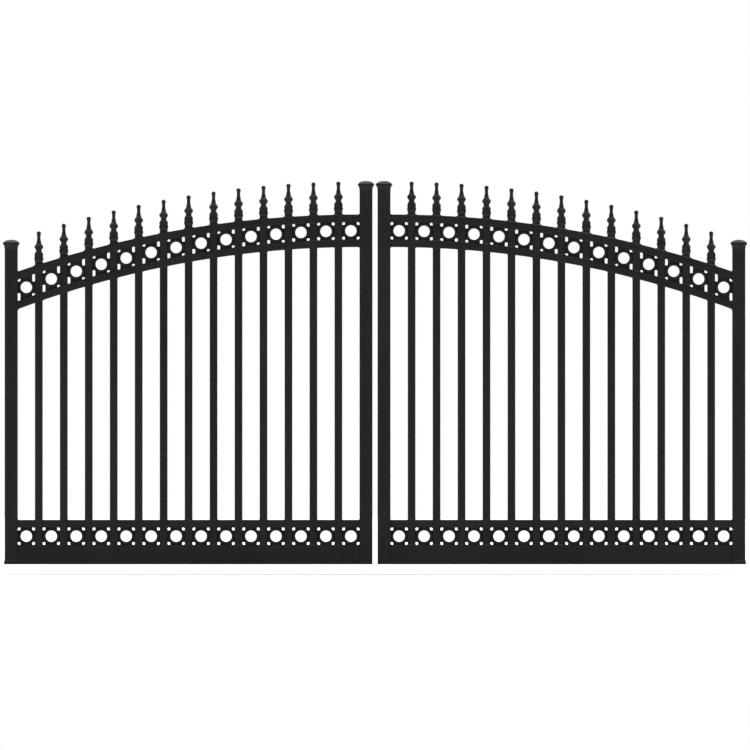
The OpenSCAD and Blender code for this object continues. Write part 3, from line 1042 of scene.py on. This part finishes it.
class GATE_OT_bolts(bpy.types.Operator):
    """Make the hexagon bolts and washers that hold the hook plates"""

    bl_idname = "gate.bolts"
    bl_label = "Plate bolts"

    def execute(self, context):
        sizes = context.scene.gate_sizes
        patterns = [mount for mount in frame["record"]["mounts"] if mount["kind"] == "bolt_pattern"]
        if not patterns:
            raise RuntimeError("the record states no bolt pattern")
        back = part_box("left_lower_hook_plate")[1].y
        face = self.plate_face()
        # Degrees that a bolt is turned by for its corner and its number, so that no two stand alike
        corner_turn, number_turn = 17, 9
        places, turns = [], []
        for mount in patterns:
            across = mount["dims"]["spacing_x_mm"] * MM / 2
            up = mount["dims"]["spacing_y_mm"] * MM / 2
            x, _, z = mount["pos_m"]
            for corner, (side, end) in enumerate(((-1, -1), (1, -1), (-1, 1), (1, 1))):
                places.append((x + side * across, face, z + end * up))
                turn = corner_turn * corner + number_turn * len(places)
                turns.append((0, math.radians(turn), 0))
        hole, clearance = patterns[0]["dims"]["hole_r_mm"] * MM, 0.5 * MM
        pattern = self.pattern(sizes, hole - clearance, back - face)
        seed = points_seed(places, turns)
        piece = grow("hook_plate_bolts", seed, "copies", "hinge_paint", Pattern=pattern)
        bpy.data.objects.remove(pattern)
        hand_over(piece, HOOKS_BODY, "hinge_paint")
        return {"FINISHED"}

    def plate_face(self):
        """The y of the plates' front faces, where the washers lie."""
        corners = corners_of("left_lower_hook_plate")
        near_top = corners[:, 2] > corners[:, 2].max() - 1 * MM
        return float(corners[near_top, 1].min())

    def pattern(self, sizes, shank, plate):
        """One bolt along Y with the washer's seat at the origin, its head towards the front."""
        shape = bmesh.new()
        rim, shoulder, crown, recess = 0.4 * MM, 1.1 * MM, 0.15 * MM, 0.3 * MM
        thick = sizes.washer_thick
        wide = sizes.washer_across / 2
        self.turn(shape, [(wide - rim, 0), (wide, -rim), (wide, rim - thick), (wide - rim, -thick)], 32)
        flats = sizes.bolt_flats / 2
        point = flats / math.cos(math.radians(30))
        top = -thick - sizes.bolt_head
        chamfer = [(point, top + shoulder), (0.97 * flats, top + crown), (0.92 * flats, top)]
        self.turn(shape, [(point, -thick), *chamfer], 6)
        self.turn(shape, [(shank, -thick), (shank, plate - recess)], 20)
        return settle(make_piece("bolt_pattern", shape, finish_for("hinge_paint")), sharp=28)

    def turn(self, shape, profile, corners):
        """Adds a solid turned about Y."""
        rings = []
        for radius, y in profile:
            angles = [math.tau * i / corners for i in range(corners)]
            rings.append([(radius * math.cos(a), y, radius * math.sin(a)) for a in angles])
        add_loft(shape, rings)


class GATE_OT_welds(bpy.types.Operator):
    """Make the weld beads round the pickets, at the ends of the rails and round the hinge eyes"""

    bl_idname = "gate.welds"
    bl_label = "Weld beads"

    def execute(self, context):
        sizes = context.scene.gate_sizes
        sunk = BEAD_SUNK * sizes.bead
        values = {"Bead": sizes.bead, "Ripple": sizes.ripple, "Unevenness": 0.5, "Seed": float(sizes.seed)}
        for side in SIDES:
            paths = self.picket_paths(side, sunk, sizes.picket_corner)
            paths += self.rail_paths(side, sunk, sizes)
            paths += self.eye_paths(side, sunk)
            piece = grow(f"{side}_weld_beads", paths_seed(paths), "beads", "frame_paint", **values)
            hand_over(piece, f"{side}_leaf", "frame_paint")
        return {"FINISHED"}

    def picket_paths(self, side, sunk, corner):
        """A loop round each picket on every rail face that it meets."""
        faces = []
        for rail in RAILS:
            under, over = rail_faces(f"{side}_{rail}")
            if rail != "bottom_rail":
                faces.append((under, 1))
            faces.append((over, -1))
        top_face = len(faces) - 1
        paths = []
        sockets = [box_of(casting) for casting in bars_of(f"{side}_finials")]
        for bar, (socket_low, socket_high) in zip(bars_of(f"{side}_pickets"), sockets):
            low, high = box_of(bar)
            middle = (low + high) / 2
            for number, (face, into) in enumerate(faces):
                wide = socket_high.x - socket_low.x if number == top_face else high.x - low.x
                square = level_square(middle, into * sunk, wide / 2 - sunk, corner)
                paths.append(([(x, y, face(x) + z) for x, y, z in square], True))
        return paths

    def rail_paths(self, side, sunk, sizes):
        """A loop round both ends of each rail. The bottom rail's underside is left open."""
        clear_of_foot = 1.3 * sizes.bead
        paths = []
        for rail in RAILS:
            node = f"{side}_{rail}"
            low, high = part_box(node)
            under, over = rail_faces(node)
            front, back = low.y + sunk, high.y - sunk
            for x in (low.x, high.x):
                loop = rail_section(x, front, back, under(x) + sunk, over(x) - sunk, sizes.rail_corner)
                closed = rail != "bottom_rail"
                if not closed:
                    end = low.z + clear_of_foot
                    loop = [corner for corner in loop if corner[2] > (under(x) + over(x)) / 2]
                    loop = [(x, loop[0][1], end), *loop, (x, loop[-1][1], end)]
                paths.append((loop, closed))
        return paths

    def eye_paths(self, side, sunk, corner=2 * MM):
        """A loop round each hinge eye's pad, on the back of its stile."""
        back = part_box(f"{side}_hinge_stile")[1].y
        paths = []
        for level in LEVELS:
            corners = corners_of(f"{side}_{level}_hinge_eye")
            pad = corners[:, 1] < back + 0.5 * MM
            low, high = box_of(corners[pad])
            middle = (low + high) / 2
            outline = rounded_outline((high.x - low.x) / 2 - sunk, (high.z - low.z) / 2 - sunk, corner)
            paths.append(([(middle.x + x, back - sunk, middle.z + z) for x, z in outline], True))
        return paths


class GATE_OT_corner_fillets(bpy.types.Operator):
    """Make the fillets between the hinge stiles and the lower arch rails"""

    bl_idname = "gate.corner_fillets"
    bl_label = "Corner fillets"

    def execute(self, context):
        reach = context.scene.gate_sizes.corner_fillet
        overlap, inset = MM, 3 * MM
        for side, inwards in (("left", 1), ("right", -1)):
            node = f"{side}_lower_arch_rail"
            under, _ = rail_faces(node)
            rail_low, rail_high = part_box(node)
            stile_low, stile_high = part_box(f"{side}_hinge_stile")
            face = stile_high.x if side == "left" else stile_low.x
            middle_y = (rail_low.y + rail_high.y) / 2
            half = (rail_high.y - rail_low.y) / 2 - inset
            inside = face - inwards * overlap
            outline = [(inside, under(face) + overlap), (inside, under(face) - reach)]
            for across, down in arc((1, 1), 1, 180, 90, 8):
                x = face + inwards * reach * across
                outline.append((x, under(x) - reach * (1 - down)))
            x = face + inwards * reach
            outline.append((x, under(x) + overlap))
            sections = [[(x, middle_y + y, z) for x, z in outline] for y in (-half, half)]
            piece = lofted(f"{side}_corner_fillet", sections, "frame_paint")
            hand_over(piece, f"{side}_leaf", "frame_paint")
        return {"FINISHED"}


STEPS = (
    GATE_OT_stage,
    GATE_OT_stiles,
    GATE_OT_caps,
    GATE_OT_shoes,
    GATE_OT_rails,
    GATE_OT_pickets,
    GATE_OT_rings,
    GATE_OT_ring_collars,
    GATE_OT_finials,
    GATE_OT_hinge_eyes,
    GATE_OT_hook_plates,
    GATE_OT_bolts,
    GATE_OT_welds,
    GATE_OT_corner_fillets,
)


class GATE_PT_looks(bpy.types.Panel):
    """Lists the gate's sizes, colours and operators"""

    bl_idname = "GATE_PT_looks"
    bl_label = "Gate looks"
    bl_space_type = "VIEW_3D"
    bl_region_type = "UI"
    bl_category = "Gate"

    def draw(self, context):
        for settings in (context.scene.gate_sizes, context.scene.gate_colours, context.scene.gate_stage):
            box = self.layout.box()
            for name in settings.__annotations__:
                box.prop(settings, name)
        for step in STEPS:
            self.layout.operator(step.bl_idname)


CLASSES = (GateSizes, GateColours, GateStage, *STEPS, GATE_PT_looks)


def register():
    for cls in CLASSES:
        bpy.utils.register_class(cls)
    bpy.types.Scene.gate_sizes = PointerProperty(type=GateSizes)
    bpy.types.Scene.gate_colours = PointerProperty(type=GateColours)
    bpy.types.Scene.gate_stage = PointerProperty(type=GateStage)


def unregister():
    del bpy.types.Scene.gate_stage
    del bpy.types.Scene.gate_colours
    del bpy.types.Scene.gate_sizes
    for cls in reversed(CLASSES):
        bpy.utils.unregister_class(cls)


def main():
    register()
    for step in STEPS:
        group, name = step.bl_idname.split(".")
        getattr(getattr(bpy.ops, group), name)()


if __name__ == "__main__":
    main()
